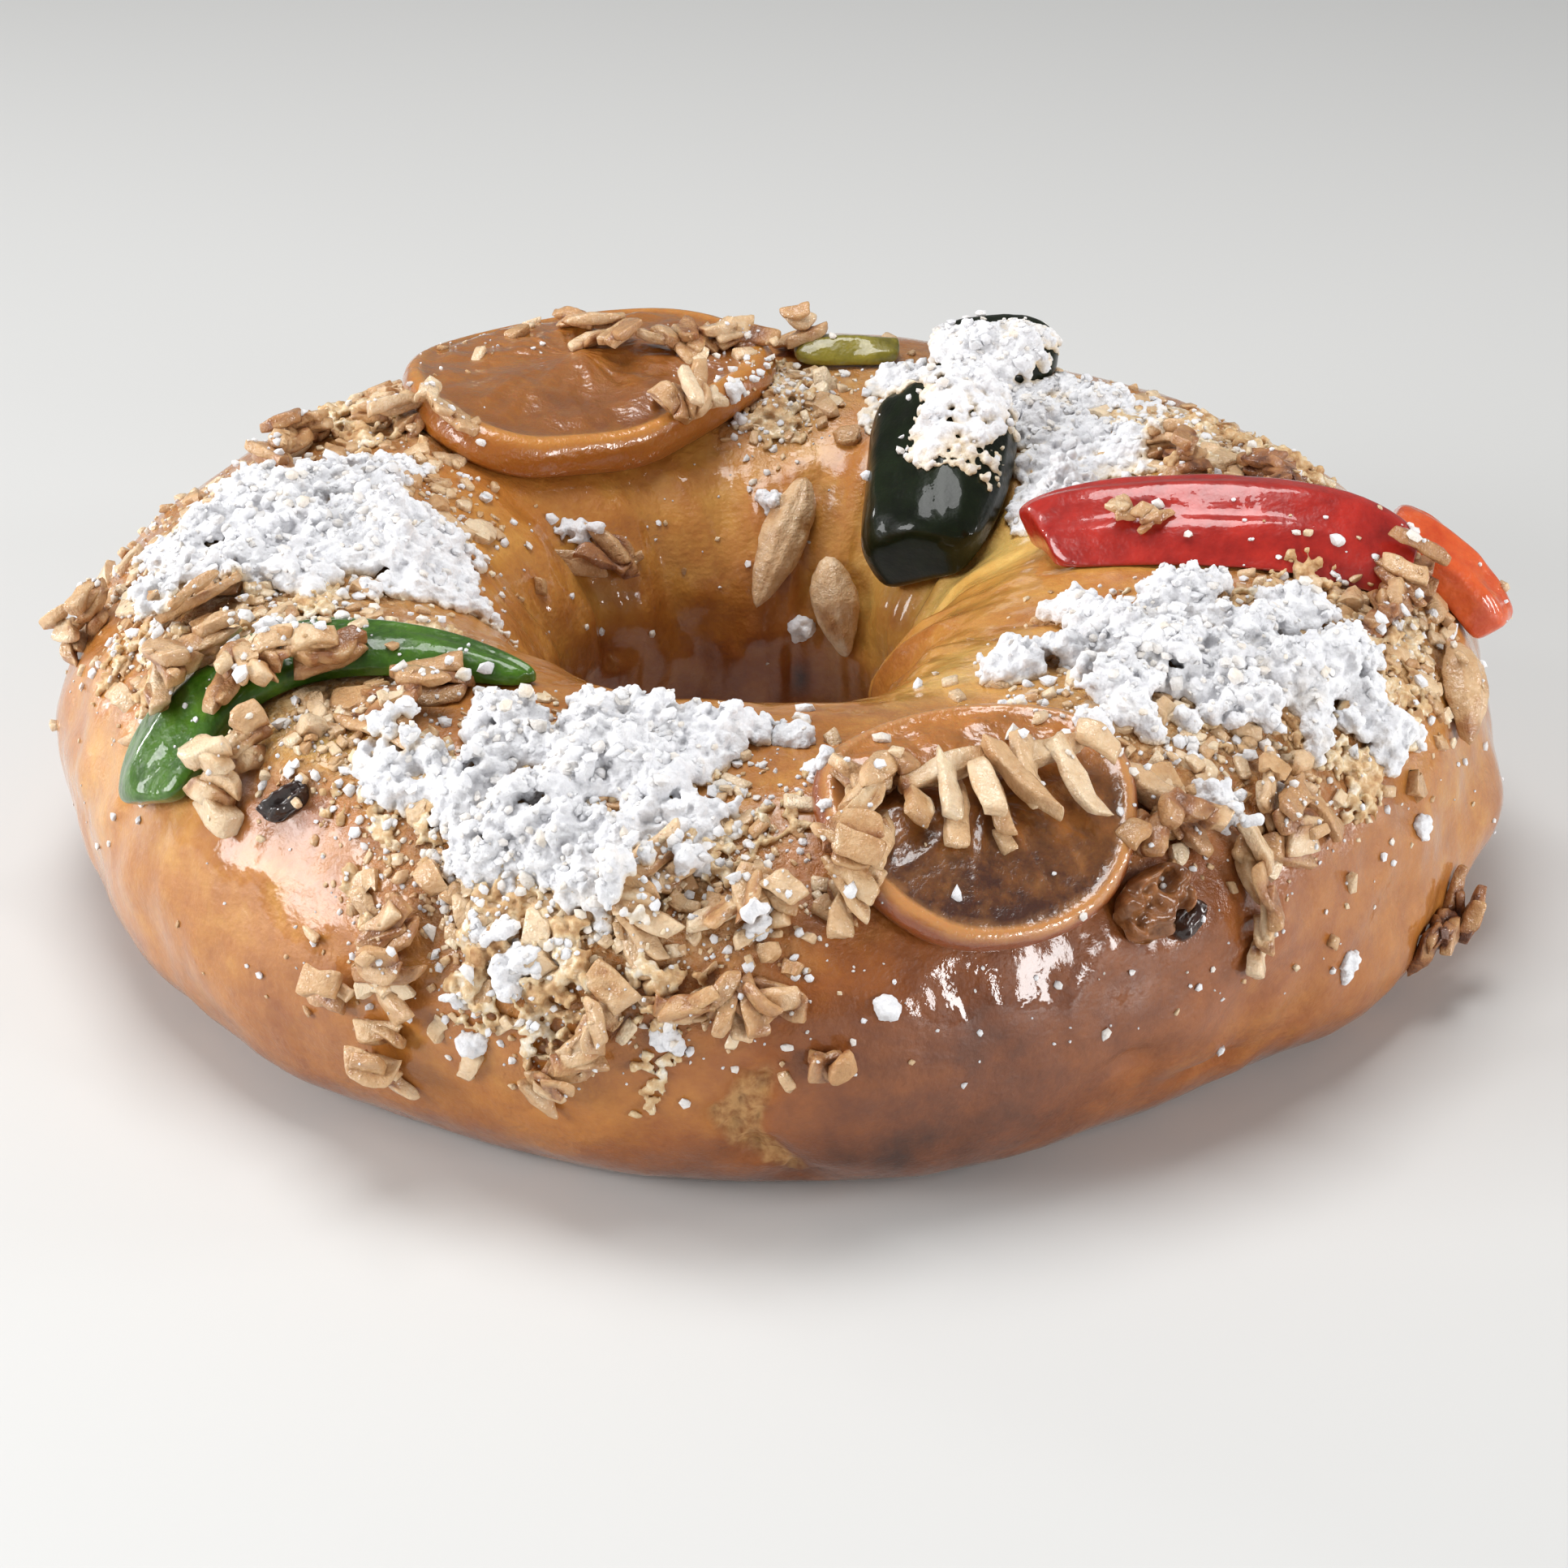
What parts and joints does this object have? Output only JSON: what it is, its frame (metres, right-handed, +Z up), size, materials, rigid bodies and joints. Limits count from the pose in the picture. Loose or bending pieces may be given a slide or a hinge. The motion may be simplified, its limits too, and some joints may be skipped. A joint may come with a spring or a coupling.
{
  "type": "roscon de reyes",
  "caption": "Glazed ring loaf of enriched dough set with candied fruit slices and strips, clusters of toasted almonds and drifts of white sugar.",
  "frame": {"origin": "on the plane of the flat base, in the middle of the loaf's outline", "axes": "+Z up out of the base, through the hole; -Y towards the side that carries the round orange slice and the large front sugar drift"},
  "size_m": [0.2509, 0.2475, 0.0747],
  "materials": {
    "crust": "glazed golden to deep amber baked crust",
    "candied_orange": "translucent brown candied orange in syrup",
    "candied_green": "bright green candied fruit, syrup gloss",
    "candied_fig": "near-black green candied fruit, syrup gloss",
    "candied_red": "red candied fruit, syrup gloss",
    "candied_amber": "orange-red candied fruit, syrup gloss",
    "candied_olive_green": "yellow-green candied fruit, syrup gloss",
    "raisin": "wrinkled dark raisin",
    "almond": "toasted chopped almond with a thin caramel coat",
    "sugar": "dry white clumped sugar"
  },
  "bodies": {
    "root": {"almond_half_hole_long": "almond", "almond_half_hole_short": "almond", "almond_half_right": "almond", "almonds_back_left": "almond", "almonds_back_right": "almond", "almonds_behind_olive": "almond", "almonds_behind_orange": "almond", "almonds_beside_orange_back": "almond", "almonds_beside_orange_left": "almond", "almonds_by_green_foot": "almond", "almonds_by_red_end": "almond", "almonds_foot_left": "almond", "almonds_foot_right": "almond", "almonds_front_left": "almond", "almonds_front_low": "almond", "almonds_front_middle": "almond", "almonds_front_right": "almond", "almonds_front_upper": "almond", "almonds_hole_wall": "almond", "almonds_left_crest": "almond", "almonds_left_edge": "almond", "almonds_left_flake": "almond", "almonds_left_flank": "almond", "almonds_on_green_crest": "almond", "almonds_on_green_outer": "almond", "almonds_orange_back_near": "almond", "almonds_over_orange_back": "almond", "almonds_over_orange_left": "almond", "almonds_over_orange_right": "almond", "almonds_right_crest": "almond", "almonds_right_flank": "almond", "almonds_right_of_orange": "almond", "almonds_under_orange": "almond", "amber_wedge": "candied_amber", "dough_ring": "crust", "fig_back": "candied_fig", "fig_front": "candied_fig", "green_strip": "candied_green", "olive_strip": "candied_olive_green", "orange_slice_back": "candied_orange", "orange_slice_front": "candied_orange", "raisin_front": "raisin", "raisin_left": "raisin", "red_strip": "candied_red", "sugar_drift_figs": "sugar", "sugar_drift_front": "sugar", "sugar_drift_front_low": "sugar", "sugar_drift_left": "sugar", "sugar_drift_right": "sugar"}
  },
  "joints": []
}
